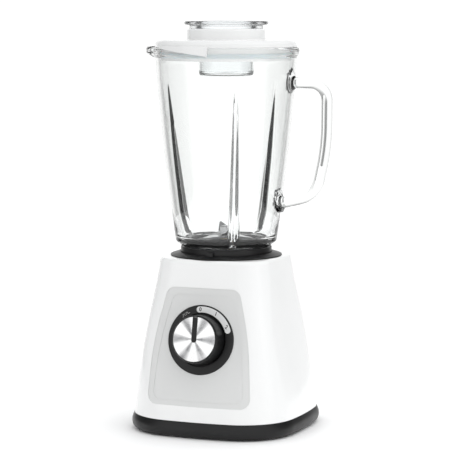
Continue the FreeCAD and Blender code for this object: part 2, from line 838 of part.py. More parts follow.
def build_motor_shaft():
    radius = dim("motor_shaft_radius")
    shaft = turned("motor_shaft", ((0, 23.0), (radius, 23.0, 0.5), (radius, 159.0, 0.5), (0, 159.0)))
    return shaft


SLOT_COUNT = 12
SLOT_RING = 14.6
SLOT_RADIUS = 1.9


def slot_places():
    angles = [2 * math.pi * i / SLOT_COUNT for i in range(SLOT_COUNT)]
    return [(SLOT_RING * math.cos(angle), SLOT_RING * math.sin(angle)) for angle in angles]


def build_armature_core():
    low, high = dim("stator_bottom"), dim("stator_top")
    shaft = dim("motor_shaft_radius")
    stack = turned("armature_stack", (
        (shaft, low), (dim("armature_radius"), low), (dim("armature_radius"), high), (shaft, high)
    ))
    slots = drill("armature_slot", slot_places(), SLOT_RADIUS, low - 5, high - low + 10)
    return cut("armature_core", stack, fuse("armature_slots", slots))


def build_armature_windings():
    low, high = dim("stator_bottom"), dim("stator_top")
    shaft = dim("motor_shaft_radius")
    heads = []
    for i, level in enumerate((low - 8, high)):
        heads.append(turned(f"winding_head_{i}", (
            (shaft + 1, level), (16.6, level, 2.0), (16.6, level + 8, 2.0), (shaft + 1, level + 8)
        )))
    wires = drill("slot_wire", slot_places(), SLOT_RADIUS - 0.1, low - 1, high - low + 2)
    return fuse("armature_windings", heads + wires)


def build_commutator():
    shaft = dim("motor_shaft_radius")
    ring = turned("commutator_ring", ((shaft, 50.0), (11.0, 50.0), (11.0, 66.0), (shaft, 66.0)))
    cuts = [
        turned_box(f"commutator_cut_{i}", 2.5, 0.5, 20.0, 10.9 * math.cos(math.radians(15 * i)),
                   10.9 * math.sin(math.radians(15 * i)), 48.0, 15 * i)
        for i in range(24)
    ]
    return cut("commutator", ring, fuse("commutator_cuts", cuts))


def build_cooling_fan():
    shaft = dim("motor_shaft_radius")
    hub = turned("fan_hub", ((shaft, 24.0), (9.0, 24.0, 1.0), (9.0, 36.0), (dim("fan_radius"), 36.0),
                             (dim("fan_radius"), 37.6), (shaft, 37.6)))
    blades = []
    for i in range(11):
        turn = 360.0 * i / 11
        angle = math.radians(turn)
        blades.append(turned_box(f"fan_blade_{i}", 23.0, 1.5, 11.0, 21 * math.cos(angle),
                                 21 * math.sin(angle), 25.5, turn + 18))
    return fuse("cooling_fan", [hub] + blades)


# ---------------------------------------------------------------- drive coupling and interlock

LOBES = 6
LOBE_RING = 9.6
PIN_PLACE = 39.5
PIN_RADIUS = 2.5


def lobed_prism(label, clearance, low, height):
    """A round core with six round lobes: the coupling's section."""
    core = cylinder(f"{label}_core", 8.8 + as_size(clearance), height, 0, 0, low)
    places = [
        (LOBE_RING * math.cos(math.pi / 3 * i), LOBE_RING * math.sin(math.pi / 3 * i)) for i in range(LOBES)
    ]
    lobes = drill(f"{label}_lobe", places, 2.4 + as_size(clearance), low, height)
    return fuse(f"{label}_section", [core] + lobes)


def build_drive_socket():
    well = dim("well_level")
    blank = turned("socket_blank", (
        (0, well - 7), (13.0, well - 7), (16.0, well - 5), (16.0, well + 7, 1.2), (0, well + 7)
    ))
    tools = fuse("socket_tools", [
        lobed_prism("socket_star", dim("coupling_clearance"), well - 2.5, 20.0),
        cylinder("socket_bore", dim("motor_shaft_radius"), 4.0, 0, 0, well - 7),
    ])
    return cut("drive_socket", blank, tools)


def build_drive_pinion():
    well = dim("well_level")
    star = lobed_prism("pinion_star", 0, well - 1.5, 11.0)
    bore = cylinder("pinion_bore", dim("blade_shaft_radius"), 20.0, 0, 0, well + 1)
    return cut("drive_pinion", star, bore)


def build_interlock_pin():
    well = dim("well_level")
    pin = turned("interlock_pin", (
        (0, well - 21), (PIN_RADIUS, well - 21, 0.5), (PIN_RADIUS, well - 5), (4.9, well - 5),
        (4.9, well - 3.2), (PIN_RADIUS, well - 3.2), (PIN_RADIUS, well + 2.6, 0.6), (0, well + 2.6),
    ))
    return put(pin, 0, PIN_PLACE, 0)


def build_interlock_spring():
    well = dim("well_level")
    spring = turned("interlock_spring", (
        (3.2, well - 16), (4.4, well - 16), (4.4, well - 5.2), (3.2, well - 5.2)
    ))
    return put(spring, 0, PIN_PLACE, 0)


def build_interlock_switch():
    well = dim("well_level")
    case = box("micro_case", (-10, PIN_PLACE - 4, well - 37), (10, PIN_PLACE + 4, well - 25))
    button = cylinder("micro_button", 1.6, 1.0, 0, PIN_PLACE, well - 25)
    near, far = PIN_PLACE - 0.4, PIN_PLACE + 0.4
    legs = [
        box(f"micro_leg_{i}", (x - 1.5, near, well - 42), (x + 1.5, far, well - 37))
        for i, x in enumerate((-7.0, 0.0, 7.0))
    ]
    return fuse("interlock_switch", [case, button] + legs)


# ---------------------------------------------------------------- jug

def outer_wall():
    """The glass's outer wall from foot to rim: a radius, a height and a bend radius each."""
    return ((49.4, 183.0, 4.0), (53.0, 207.0, 300.0), (61.2, 270.0, 1200.0), (67.6, 336.0, 900.0))


def build_glass_jug():
    wall = dim("jug_wall")
    rim = dim("jug_rim_radius")
    top = dim("rim_level")
    neck = dim("neck_radius")
    bore = dim("neck_bore")
    well = dim("well_level")
    outer = [(neck, well + 7), (neck, well + 18.4, 1.5), (43.4, well + 18.6, 1.5)]
    outer += list(outer_wall())
    outer += [(rim - 1.9, top - 8.6, 2.0), (rim, top - 6.8, 1.2), (rim, top, 2.2)]
    inner = [(rim - 5.2, top, 1.6), (rim - 5.9, top - 6, 4.0)]
    for radius, level, bend in reversed(outer_wall()[1:]):
        inner.append((radius - wall, level, bend))
    inner += [
        (44.2, 187.6, 6.0), (bore + 2, well + 22.6, 3.0), (bore, well + 21.4, 0.8), (bore, well + 7)
    ]
    glass = turned("jug_wall_turned", outer + inner)

    spout = turned("spout_outer", ((0, 352.0), (3.0, 352.0), (21.5, top - 4.5, 2.0), (21.5, top), (0, top)))
    put(spout, -(dim("spout_reach") - 21.5), 0, 0)
    channel = turned("spout_inner", (
        (0, 358.0), (2.0, 358.0), (16.8, top - 1.5, 3.0), (18.4, top + 2), (0, top + 2)
    ))
    put(channel, -(dim("spout_reach") - 21.5), 0, 0)
    hollow = turned("jug_hollow", (
        (0, 340.0), (63.8, 340.0), (rim - 5.9, top - 6), (rim - 5.9, top + 3), (0, top + 3)
    ))
    lip = cut("spout_lip", spout, hollow)

    ribs = [build_rib(f"jug_rib_{i}", clock) for i, clock in enumerate((30.0, 150.0, 270.0))]
    solid = fuse("jug_solid", [glass, lip] + ribs)
    return cut("glass_jug", solid, channel)


def build_rib(label, heading):
    """An inward stirring rib: a triangle that shrinks towards its pointed top."""
    body = doc.addObject("PartDesign::Body", label)
    low = draw_outline(body_sketch(body, f"{label}_low", "XY_Plane", 186.0),
                       ((47.4, -4.0), (47.4, 4.0), (38.2, 1.0), (38.2, -1.0)))
    high = draw_outline(body_sketch(body, f"{label}_high", "XY_Plane", 338.5),
                        ((65.8, -2.2), (65.8, 2.2), (63.2, 0.5), (63.2, -0.5)))
    loft = body.newObject("PartDesign::AdditiveLoft", f"{label}_loft")
    loft.Profile = low
    loft.Sections = [high]
    loft.Ruled = True
    # headings run from the front (-Y) towards the handle (+X)
    body.Placement = Placement(Vector(), Rotation(Z_AXIS, heading - 90.0))
    return body


def build_jug_handle():
    body = doc.addObject("PartDesign::Body", "handle_bar")
    route = draw_outline(body_sketch(body, "handle_route", "XZ_Plane"), (
        (62.0, 340.6), (104.6, 340.6, 24.0), (104.0, 280.0, 200.0), (93.6, 231.6, 34.0), (52.0, 221.6)
    ), closed=False)
    section = body_sketch(body, "handle_section", "YZ_Plane", 62.0)
    section.addGeometry(Part.Ellipse(Vector(0, 340.6, 0), 9.0, 5.2), False)
    section.addConstraint(Sketcher.Constraint("Block", 0))
    pipe = body.newObject("PartDesign::AdditivePipe", "handle_pipe")
    pipe.Profile = section
    pipe.Spine = route
    pads = [
        cylinder("upper_pad", 11.75, 10.3, 60.0, 0, 342.0, 90, Y_AXIS),
        cylinder("lower_pad", 11.75, 10.3, 47.5, 0, 225.4, 98, Y_AXIS),
    ]
    solid = fuse("handle_solid", [body] + pads)
    foot_radius, foot_level, _ = outer_wall()[0]
    outline = [(0, foot_level), (foot_radius, foot_level)] + list(outer_wall()[1:])
    outline += [(dim("jug_rim_radius") - 1.9, dim("rim_level") - 8.6), (0, dim("rim_level") - 8.6)]
    return cut("jug_handle", solid, turned("handle_limit", outline))


def build_jug_base_ring():
    well = dim("well_level")
    ring = dim("ring_radius")
    blank = turned("ring_blank", (
        (34.0, well + 0.1), (ring, well + 0.1, 0.5), (ring, well + 16.8, 0.8),
        (dim("neck_radius") + 0.4, well + 16.8, 0.6), (dim("neck_radius") + 0.4, well + 3.2),
        (34.0, well + 3.2),
    ))
    return cut("jug_base_ring", blank, cylinder("pin_pocket", 4.0, 3.2, 0, PIN_PLACE, well))


def build_blade_carrier():
    well = dim("well_level")
    radius = dim("carrier_radius")
    carrier = turned("blade_carrier", (
        (7.0, well + 11), (28.0, well + 11, 1.0), (28.0, well + 3.2), (41.0, well + 3.2),
        (41.0, well + 5.2), (radius, well + 5.2), (radius, well + 21.0, 2.0), (32.0, well + 21.2, 1.2),
        (30.0, well + 18.0, 2.5), (17.0, well + 17.6, 3.0), (13.0, well + 20.0, 1.5),
        (12.0, well + 21.5, 0.8), (7.0, well + 21.5),
    ))
    return carrier


def build_jug_seal():
    well = dim("well_level")
    return turned("jug_seal", (
        (dim("carrier_radius") + 0.1, well + 5.2), (41.0, well + 5.2), (41.0, well + 7.0),
        (dim("carrier_radius") + 0.1, well + 7.0),
    ))


# ---------------------------------------------------------------- blades

def build_blade_bush():
    well = dim("well_level")
    bore = dim("blade_shaft_radius") + dim("shaft_clearance")
    return turned("blade_bush", ((bore, well + 11), (7.0, well + 11), (7.0, well + 22), (bore, well + 22)))


def build_blade_shaft():
    well = dim("well_level")
    radius = dim("blade_shaft_radius")
    return turned("blade_shaft", (
        (0, well + 1), (radius, well + 1), (radius, well + 23.0), (3.0, well + 23.0),
        (3.0, well + 33.5, 0.5), (0, well + 33.5),
    ))


def build_blade(label, level, rise, turn):
    """A pressed two-wing blade: a flat hub whose pointed wings bend up or down to their tips."""
    hub, tip, thick = 13.0, 29.0, 1.8
    strip = prism(f"{label}_strip", "XZ_Plane", (
        (-tip, rise), (-hub, 0), (hub, 0), (tip, rise), (tip, rise + thick), (hub, thick),
        (-hub, thick), (-tip, rise + thick)
    ), 0, 20.0, midplane=True)
    plan = prism(f"{label}_plan", "XY_Plane", (
        (9.0, -7.0), (16.0, -7.8, 2.0), (28.6, -0.2, 0.6), (26.5, 1.5, 0.6), (9.0, 6.5),
        (-9.0, 7.0), (-16.0, 7.8, 2.0), (-28.6, 0.2, 0.6), (-26.5, -1.5, 0.6), (-9.0, -6.5),
    ), -30.0, 60.0)
    blank = common(f"{label}_blank", [strip, plan])
    blade = cut(label, blank, cylinder(f"{label}_hole", 3.05, 10.0, 0, 0, -4.0))
    return put(blade, 0, 0, level, turn)


def build_upper_blade():
    return build_blade("upper_blade", dim("well_level") + 26.8, 8.5, 123.6)


def build_lower_blade():
    return build_blade("lower_blade", dim("well_level") + 23.0, -3.5, 33.6)


def build_blade_spacer():
    low = dim("well_level") + 24.8
    return turned("blade_spacer", ((3.05, low), (6.5, low), (6.5, low + 2), (3.05, low + 2)))


def build_blade_nut():
    well = dim("well_level")
    dome = turned("nut_dome", (
        (3.0, well + 28.6), (7.4, well + 28.6), (7.4, well + 32.9), (4.6, well + 35.5, 1.5),
        (0, well + 35.5), (0, well + 33.5), (3.0, well + 33.5),
    ))
    hexagon = [(6.4 * math.cos(math.pi / 3 * i), 6.4 * math.sin(math.pi / 3 * i)) for i in range(6)]
    return common("blade_nut", [dome, prism("nut_hexagon", "XY_Plane", hexagon, well + 25, 20.0)])


# ---------------------------------------------------------------- lid and measuring cap

LID_UNDERSIDE_GAP = 0.4
WING_STEP = 7.0
WING_FADE = -62.0
WING_TILT = 7.1
WING_DROP = 7.9


def heading_point(heading, distance):
    """A plan point at a heading measured from the front (-Y) towards the handle (+X)."""
    angle = math.radians(heading)
    return (distance * math.sin(angle), -distance * math.cos(angle))


def build_lid_wing(label, turn):
    """A grip wing outside the rim: full width at its step, fading into the lid's edge."""
    seat = dim("rim_level") + LID_UNDERSIDE_GAP
    x, y = heading_point(WING_STEP + turn, 9.35)
    blank = cylinder(f"{label}_blank", 66.65, 16.6, x, y, seat - 15)
    corners = [(0, 0)] + [heading_point(WING_STEP + turn - step, 120.0) for step in (69.0, 34.5, 0.0)]
    sector = prism(f"{label}_sector", "XY_Plane", corners, seat - 20, 40.0)
    wedge = common(f"{label}_wedge", [blank, sector])
    under_x, under_y = heading_point(6.0 + turn, 76.0)
    under = box(f"{label}_under", (0, 0, 0), (220.0, 220.0, 40.0))
    slope = Rotation(Z_AXIS, turn).multiply(Rotation(Y_AXIS, WING_TILT))
    corner = slope.multVec(Vector(-160.0, -110.0, -40.0)) + Vector(under_x, under_y, seat.value - WING_DROP)
    put(under, corner.x, corner.y, corner.z)
    under.Placement = Placement(corner, slope)
    rim_way = cylinder(f"{label}_rim_way", dim("jug_rim_radius") + 0.6, 40.0, 0, 0, seat - 40)
    core = cylinder(f"{label}_core", 66.0, 60.0, 0, 0, seat - 30)
    return cut(label, wedge, fuse(f"{label}_tools", [under, rim_way, core]))


def build_lid():
    seat = dim("rim_level") + LID_UNDERSIDE_GAP
    top = dim("lid_level")
    disc = dim("lid_radius")
    neck = dim("lid_neck_radius")
    bore = dim("lid_bore")
    plate = turned("lid_plate", (
        (bore, seat - 3), (bore + 2, seat - 3), (bore + 2, top + 8.0), (neck - 2.4, top + 8.0),
        (neck - 2.4, top - 2.8), (61.6, top - 2.8, 1.0), (61.6, seat - 13), (64.0, seat - 13),
        (64.0, seat), (disc, seat, 0.6), (disc, top, 5.0), (neck, top, 1.2), (neck, top + 10.7, 2.0),
        (bore, top + 10.7, 1.0),
    ))
    wings = [build_lid_wing(f"lid_wing_{i}", 180.0 * i) for i in range(2)]
    return fuse("lid", [plate] + wings)


def build_lid_seal():
    seat = dim("rim_level") + LID_UNDERSIDE_GAP
    return turned("lid_seal", (
        (64.0, seat - 10), (64.9, seat - 10), (65.4, seat - 8, 0.5), (64.9, seat - 6), (64.0, seat - 6)
    ))


def build_measuring_cap():
    top = dim("overall_height")
    flange = dim("cap_flange_radius")
    cup = dim("cup_radius")
    seat = dim("lid_level") + 10.7
    return turned("measuring_cap", (
        (0, 347.0), (cup - 0.8, 347.0, 2.0), (cup, 385.0),
        (cup, seat), (36.0, seat), (36.0, top - 3.8), (flange, top - 3.8, 1.5), (flange, top, 1.6),
        (cup - 2.0, top, 1.2), (cup - 2.2, 385.0), (cup - 3.0, 349.4, 2.0), (0, 349.4),
    ))


# ---------------------------------------------------------------- the whole blender

PARTS = {
    "base_housing": build_housing,
    "control_panel": build_control_panel,
    "jug_collar": build_jug_collar,
    "bottom_tray": build_bottom_tray,
    "rubber_feet": build_rubber_feet,
    "base_screws": build_base_screws,
    "cord_gland": build_cord_gland,
    "dial_bezel": build_dial_bezel,
    "scale_strip": build_scale_strip,
    "knob_body": build_knob_body,
    "knob_face": build_knob_face,
    "knob_pointer": build_knob_pointer,
    "switch_shaft": build_switch_shaft,
    "speed_switch": build_speed_switch,
    "switch_terminals": build_switch_terminals,
    "stator_core": build_stator_core,
    "stator_coils": build_stator_coils,
    "motor_bracket_bottom": build_motor_bracket_bottom,
    "motor_bracket_top": build_motor_bracket_top,
    "bearing_bottom": lambda: build_bearing("bearing_bottom", BOTTOM_BRACKET_LEVEL),
    "bearing_top": lambda: build_bearing("bearing_top", TOP_BRACKET_LEVEL),
    "motor_mounts": build_motor_mounts,
    "mount_screws": build_mount_screws,
    "motor_screws": build_motor_screws,
    "brush_holders": build_brush_holders,
    "carbon_brushes": build_carbon_brushes,
    "brush_springs": build_brush_springs,
    "motor_shaft": build_motor_shaft,
    "armature_core": build_armature_core,
    "armature_windings": build_armature_windings,
    "commutator": build_commutator,
    "cooling_fan": build_cooling_fan,
    "drive_socket": build_drive_socket,
    "interlock_pin": build_interlock_pin,
    "interlock_spring": build_interlock_spring,
    "interlock_switch": build_interlock_switch,
    "glass_jug": build_glass_jug,
    "jug_handle": build_jug_handle,
    "jug_base_ring": build_jug_base_ring,
    "blade_carrier": build_blade_carrier,
    "jug_seal": build_jug_seal,
    "blade_bush": build_blade_bush,
    "blade_shaft": build_blade_shaft,
    "drive_pinion": build_drive_pinion,
    "lower_blade": build_lower_blade,
    "blade_spacer": build_blade_spacer,
    "upper_blade": build_upper_blade,
    "blade_nut": build_blade_nut,
    "lid": build_lid,
    "lid_seal": build_lid_seal,
    "measuring_cap": build_measuring_cap,
}


def main():
    os.makedirs("parts", exist_ok=True)
    built = {}
    for name, build in PARTS.items():
        item = build()
        item.Label = name
        built[name] = item
    doc.recompute()

    failed = [
        item.Name for item in doc.Objects
        if any(word in state for state in item.State for word in ("Invalid", "Error"))
    ]
    if failed:
        raise RuntimeError(f"features that failed to build: {failed}")
    for name, item in built.items():
        if item.Shape.isNull() or not item.Shape.isValid() or not item.Shape.Solids:
            raise RuntimeError(f"{name} has no valid solid")
    for name, item in built.items():
        item.Shape.exportStep(os.path.join("parts", f"{name}.step"))
        box_of = item.Shape.BoundBox
        print(f"{name:22s} solids {len(item.Shape.Solids):2d} volume {item.Shape.Volume:12.1f} "
              f"z {box_of.ZMin:7.2f} to {box_of.ZMax:7.2f}")


main()
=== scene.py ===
"""The looks of a countertop blender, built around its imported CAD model.

Metres throughout, +Z up, the jug's axis is the Z axis, the dial faces -Y and the handle is along +X.
Shapes are written in millimetres and scaled by MM, so that they read like the CAD's own sizes.
"""
import math

import bmesh
import bpy
import numpy as np
from mathutils import Matrix, Vector


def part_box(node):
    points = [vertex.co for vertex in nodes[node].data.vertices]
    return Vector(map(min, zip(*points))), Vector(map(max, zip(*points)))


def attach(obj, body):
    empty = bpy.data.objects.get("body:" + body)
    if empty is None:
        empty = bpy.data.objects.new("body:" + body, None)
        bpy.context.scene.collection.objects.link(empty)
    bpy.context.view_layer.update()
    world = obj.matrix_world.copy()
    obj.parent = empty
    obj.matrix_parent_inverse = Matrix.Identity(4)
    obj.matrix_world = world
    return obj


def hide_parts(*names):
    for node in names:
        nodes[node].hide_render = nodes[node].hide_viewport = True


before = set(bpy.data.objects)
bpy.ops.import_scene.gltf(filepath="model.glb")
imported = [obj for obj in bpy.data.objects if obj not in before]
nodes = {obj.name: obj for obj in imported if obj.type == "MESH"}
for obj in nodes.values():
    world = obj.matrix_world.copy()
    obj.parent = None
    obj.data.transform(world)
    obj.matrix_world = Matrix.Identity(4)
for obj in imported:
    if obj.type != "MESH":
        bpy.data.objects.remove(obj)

MM = 0.001

bpy.context.view_layer.update()
scene = bpy.context.scene


def top_of(node):
    """A node's highest point, in millimetres."""
    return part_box(node)[1].z / MM


def bottom_of(node):
    """A node's lowest point, in millimetres."""
    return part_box(node)[0].z / MM


def add_object(name, data):
    """Puts a new object that holds some data into the scene."""
    made = bpy.data.objects.new(name, data)
    scene.collection.objects.link(made)
    return made


# ---------------------------------------------------------------- camera, lights, floor

CAMERA_PLACE = (0.7651, -1.9324, 0.4235)
CAMERA_PITCH_DOWN, CAMERA_YAW = 6.297, 21.5
CAMERA_LENS = 165.54

TENT_WHITE = 1.1    # the tent's strength where it is plain white
BAND_DARK = 0.16    # its strength in the dark band that glass and metal pick up

FLOOR_RADIUS = 0.8
FLOOR_CORNERS = 96


def add_camera():
    """A long lens, a little higher than the blender, that looks down from the handle's side of the front."""
    camera = bpy.data.cameras.new("camera")
    camera.sensor_width = 36.0
    camera.lens = CAMERA_LENS
    camera.dof.use_dof = False
    scene.camera = add_object("camera", camera)
    scene.camera.location = CAMERA_PLACE
    scene.camera.rotation_euler = (math.radians(90 - CAMERA_PITCH_DOWN), 0, math.radians(CAMERA_YAW))


def add_soft_sun(name, direction, spread, strength):
    """An even, very soft light from one side, with the spread of a large diffuser in degrees."""
    light = bpy.data.lights.new(name, "SUN")
    light.energy = strength
    light.angle = math.radians(spread)
    holder = add_object(name, light)
    holder.visible_glossy = False
    holder.visible_transmission = False
    holder.rotation_euler = Vector(direction).to_track_quat("-Z", "Y").to_euler()


def set_world():
    """A white tent: plain white to the camera, and brighter from the right as a light.

    What glass and metal pick up has a dark band round the sides and overhead, as dark cards would give.
    """
    world = bpy.data.worlds.new("studio")
    world.use_nodes = True
    tree = world.node_tree
    tree.nodes.clear()
    output = tree.nodes.new("ShaderNodeOutputWorld")
    path = tree.nodes.new("ShaderNodeLightPath")
    ray = tree.nodes.new("ShaderNodeTexCoord").outputs["Generated"]

    def fade(direction, cosines, strengths):
        """A number that goes from one strength to the other as a ray turns into a direction."""
        dot = tree.nodes.new("ShaderNodeVectorMath")
        dot.operation = "DOT_PRODUCT"
        dot.inputs[1].default_value = Vector(direction).normalized()
        tree.links.new(ray, dot.inputs[0])
        spread = tree.nodes.new("ShaderNodeMapRange")
        spread.interpolation_type = "SMOOTHSTEP"
        for key, number in zip(("From Min", "From Max", "To Min", "To Max"), (*cosines, *strengths)):
            spread.inputs[key].default_value = number
        tree.links.new(dot.outputs["Value"], spread.inputs["Value"])
        return spread.outputs["Result"]

    def combined(operation, a, b):
        """The sum or the product of two numbers."""
        both = tree.nodes.new("ShaderNodeMath")
        both.operation = operation
        tree.links.new(a, both.inputs[0])
        tree.links.new(b, both.inputs[1])
        return both.outputs[0]

    def background(colour):
        """A background of one colour."""
        made = tree.nodes.new("ShaderNodeBackground")
        made.inputs["Color"].default_value = (*colour, 1)
        return made

    def chosen(ray_kind, otherwise, then):
        """One shader for a kind of ray, and another for all the others."""
        mix = tree.nodes.new("ShaderNodeMixShader")
        tree.links.new(path.outputs[ray_kind], mix.inputs["Fac"])
        tree.links.new(otherwise.outputs[0], mix.inputs[1])
        tree.links.new(then.outputs[0], mix.inputs[2])
        return mix

    lit = background((0.99, 0.995, 1.0))
    right = fade((0.8, -0.1, 0.6), (0.3, 0.95), (0.95, 1.35))
    front = fade((0.366, -0.93, 0.0), (-0.95, 0.6), (1.06, 0.7))
    rise = fade((0.0, 0.0, 1.0), (0.12, 0.4), (0.92, 1.28))
    strength = combined("MULTIPLY", combined("MULTIPLY", right, front), rise)
    tree.links.new(strength, lit.inputs["Strength"])

    mirrored = background((1, 1, 1))
    behind = fade((-0.366, 0.93, -0.1), (0.66, 0.98), (BAND_DARK, TENT_WHITE))
    ahead = fade((0.366, -0.93, 0.1), (0.1, 0.5), (0.0, TENT_WHITE - BAND_DARK))
    tree.links.new(combined("ADD", behind, ahead), mirrored.inputs["Strength"])

    seen = background((1, 1, 1))
    seen.inputs["Strength"].default_value = TENT_WHITE

    by_kind = chosen("Is Camera Ray", chosen("Is Diffuse Ray", mirrored, lit), seen)
    tree.links.new(by_kind.outputs[0], output.inputs["Surface"])
    scene.world = world


def add_floor():
    """A round white table; the white beyond it is the tent."""
    turns = [2 * math.pi * k / FLOOR_CORNERS for k in range(FLOOR_CORNERS)]
    points = [(FLOOR_RADIUS * math.cos(t), FLOOR_RADIUS * math.sin(t), 0) for t in turns]
    mesh = bpy.data.meshes.new("floor")
    mesh.from_pydata(points, [], [tuple(range(FLOOR_CORNERS))])
    mesh.materials.append(MATERIALS["floor"])
    add_object("floor", mesh)


# ---------------------------------------------------------------- materials

class Finish:
    """A node material that is built step by step around one Principled shader."""

    def __init__(self, name, colour, roughness, **sockets):
        self.material = bpy.data.materials.new(name)
        self.material.use_nodes = True
        self.tree = self.material.node_tree
        self.tree.nodes.clear()
        self.shader = self.node("ShaderNodeBsdfPrincipled")
        output = self.node("ShaderNodeOutputMaterial")
        self.link(self.shader.outputs[0], output.inputs["Surface"])
        self.shader.inputs["Base Color"].default_value = (*colour, 1)
        self.shader.inputs["Roughness"].default_value = roughness
        for socket, value in sockets.items():
            self.shader.inputs[socket.replace("_", " ")].default_value = value
        self.colour = colour
        self.roughness = roughness
        self.place = self.node("ShaderNodeTexCoord").outputs["Object"]

    def node(self, kind, **settings):
        """A new node, with its input sockets or its own properties set by name."""
        made = self.tree.nodes.new(kind)
        for key, value in settings.items():
            if key in made.inputs:
                made.inputs[key].default_value = value
            else:
                setattr(made, key, value)
        return made

    def link(self, source, target):
        """Joins an output socket to an input socket."""
        self.tree.links.new(source, target)

    def noise(self, size, detail=3.0, stretch=(1, 1, 1), place=None):
        """Noise whose blobs are about size millimetres across."""
        mapping = self.node("ShaderNodeMapping")
        mapping.inputs["Scale"].default_value = [s / (size * MM) for s in stretch]
        self.link(place or self.place, mapping.inputs["Vector"])
        noise = self.node("ShaderNodeTexNoise", Scale=1.0, Detail=detail, Roughness=0.55)
        self.link(mapping.outputs[0], noise.inputs["Vector"])
        return noise.outputs["Fac"]

    def ramp(self, source, low, high, start=0.3, end=0.7):
        """Maps the values from start to end onto the numbers from low to high."""
        scale = self.node("ShaderNodeMapRange")
        scale.inputs["From Min"].default_value = start
        scale.inputs["From Max"].default_value = end
        scale.inputs["To Min"].default_value = low
        scale.inputs["To Max"].default_value = high
        self.link(source, scale.inputs["Value"])
        return scale.outputs["Result"]

    def vary_roughness(self, source, spread):
        """Lets the roughness drift by a spread to either side."""
        low, high = max(0.0, self.roughness - spread), self.roughness + spread
        self.link(self.ramp(source, low, high), self.shader.inputs["Roughness"])

    def vary_colour(self, source, other, start=0.3, end=0.7):
        """Blends the colour into another one."""
        mix = self.node("ShaderNodeMix", data_type="RGBA")
        mix.inputs[6].default_value = (*self.colour, 1)
        mix.inputs[7].default_value = (*other, 1)
        self.link(self.ramp(source, 0.0, 1.0, start, end), mix.inputs["Factor"])
        self.link(mix.outputs[2], self.shader.inputs["Base Color"])

    def bump(self, source, height, strength):
        """Adds relief of a given height in millimetres."""
        bump = self.node("ShaderNodeBump", Strength=strength, Distance=height * MM)
        self.link(source, bump.inputs["Height"])
        self.link(bump.outputs["Normal"], self.shader.inputs["Normal"])


def moulded(name, colour, roughness, grain, relief, tint, **sockets):
    """Moulded plastic: a fine grain and relief in millimetres, and a slow drift of roughness and colour."""
    finish = Finish(name, colour, roughness, **sockets)
    finish.vary_roughness(finish.noise(38.0, 2.0), roughness * 0.16)
    finish.vary_colour(finish.noise(60.0, 2.0), tuple(c * tint for c in colour))
    finish.bump(finish.noise(grain, 2.0), relief, 0.5)
    return finish.material


def white_plastic():
    """Glossy white housing plastic with faint orange peel."""
    finish = Finish("white_plastic", (0.9, 0.903, 0.9), 0.2, Coat_Weight=0.25, Coat_Roughness=0.06)
    finish.vary_roughness(finish.noise(30.0, 3.0), 0.05)
    finish.vary_colour(finish.noise(70.0, 2.0), (0.885, 0.89, 0.888))
    finish.bump(finish.noise(2.6, 2.0), 0.004, 0.6)
    return finish.material


def panel_grey():
    """Satin light-grey plastic with a fine grain."""
    finish = Finish("grey_panel", (0.7, 0.705, 0.7), 0.4)
    finish.vary_roughness(finish.noise(9.0, 4.0), 0.06)
    finish.bump(finish.noise(0.42, 2.0), 0.012, 0.6)
    return finish.material


def clear_glass():
    """Pressed glass: almost colourless, with a slow waviness."""
    finish = Finish("clear_glass", (0.985, 0.995, 0.99), 0.012, Transmission_Weight=1.0, IOR=1.5)
    finish.vary_roughness(finish.noise(24.0, 3.0), 0.012)
    finish.bump(finish.noise(26.0, 1.0), 0.05, 0.25)
    return finish.material


def clear_plastic():
    """Clear plastic with a faint blue tint."""
    finish = Finish("clear_plastic", (0.965, 0.98, 0.985), 0.02, Transmission_Weight=1.0, IOR=1.49)
    finish.vary_roughness(finish.noise(18.0, 3.0), 0.015)
    finish.bump(finish.noise(14.0, 1.0), 0.03, 0.2)
    return finish.material


def milky_silicone():
    """Translucent seal silicone with a dull skin."""
    finish = Finish("seal_silicone", (0.78, 0.79, 0.78), 0.45, Subsurface_Weight=0.2)
    finish.vary_roughness(finish.noise(6.0), 0.08)
    finish.bump(finish.noise(1.2), 0.02, 0.4)
    return finish.material


def rubber():
    """Dull black rubber with dusty patches."""
    finish = Finish("rubber", (0.018, 0.018, 0.019), 0.68)
    finish.vary_roughness(finish.noise(7.0, 4.0), 0.1)
    finish.vary_colour(finish.noise(12.0, 4.0), (0.032, 0.031, 0.03))
    finish.bump(finish.noise(0.5, 3.0), 0.03, 0.6)
    return finish.material


def dial_place(finish):
    """A point's place in the dial's own frame, in metres."""
    into_dial = finish.node("ShaderNodeMapping", vector_type="TEXTURE")
    into_dial.inputs["Location"].default_value = DIAL.translation
    into_dial.inputs["Rotation"].default_value = DIAL.to_euler()
    finish.link(finish.place, into_dial.inputs["Vector"])
    return into_dial.outputs[0]


def dial_radius(finish, place):
    """The distance from the dial's axis, in metres, over a face of the dial."""
    flat = finish.node("ShaderNodeVectorMath", operation="MULTIPLY")
    flat.inputs[1].default_value = (1, 1, 0)
    finish.link(place, flat.inputs[0])
    length = finish.node("ShaderNodeVectorMath", operation="LENGTH")
    finish.link(flat.outputs[0], length.inputs[0])
    return length.outputs["Value"]


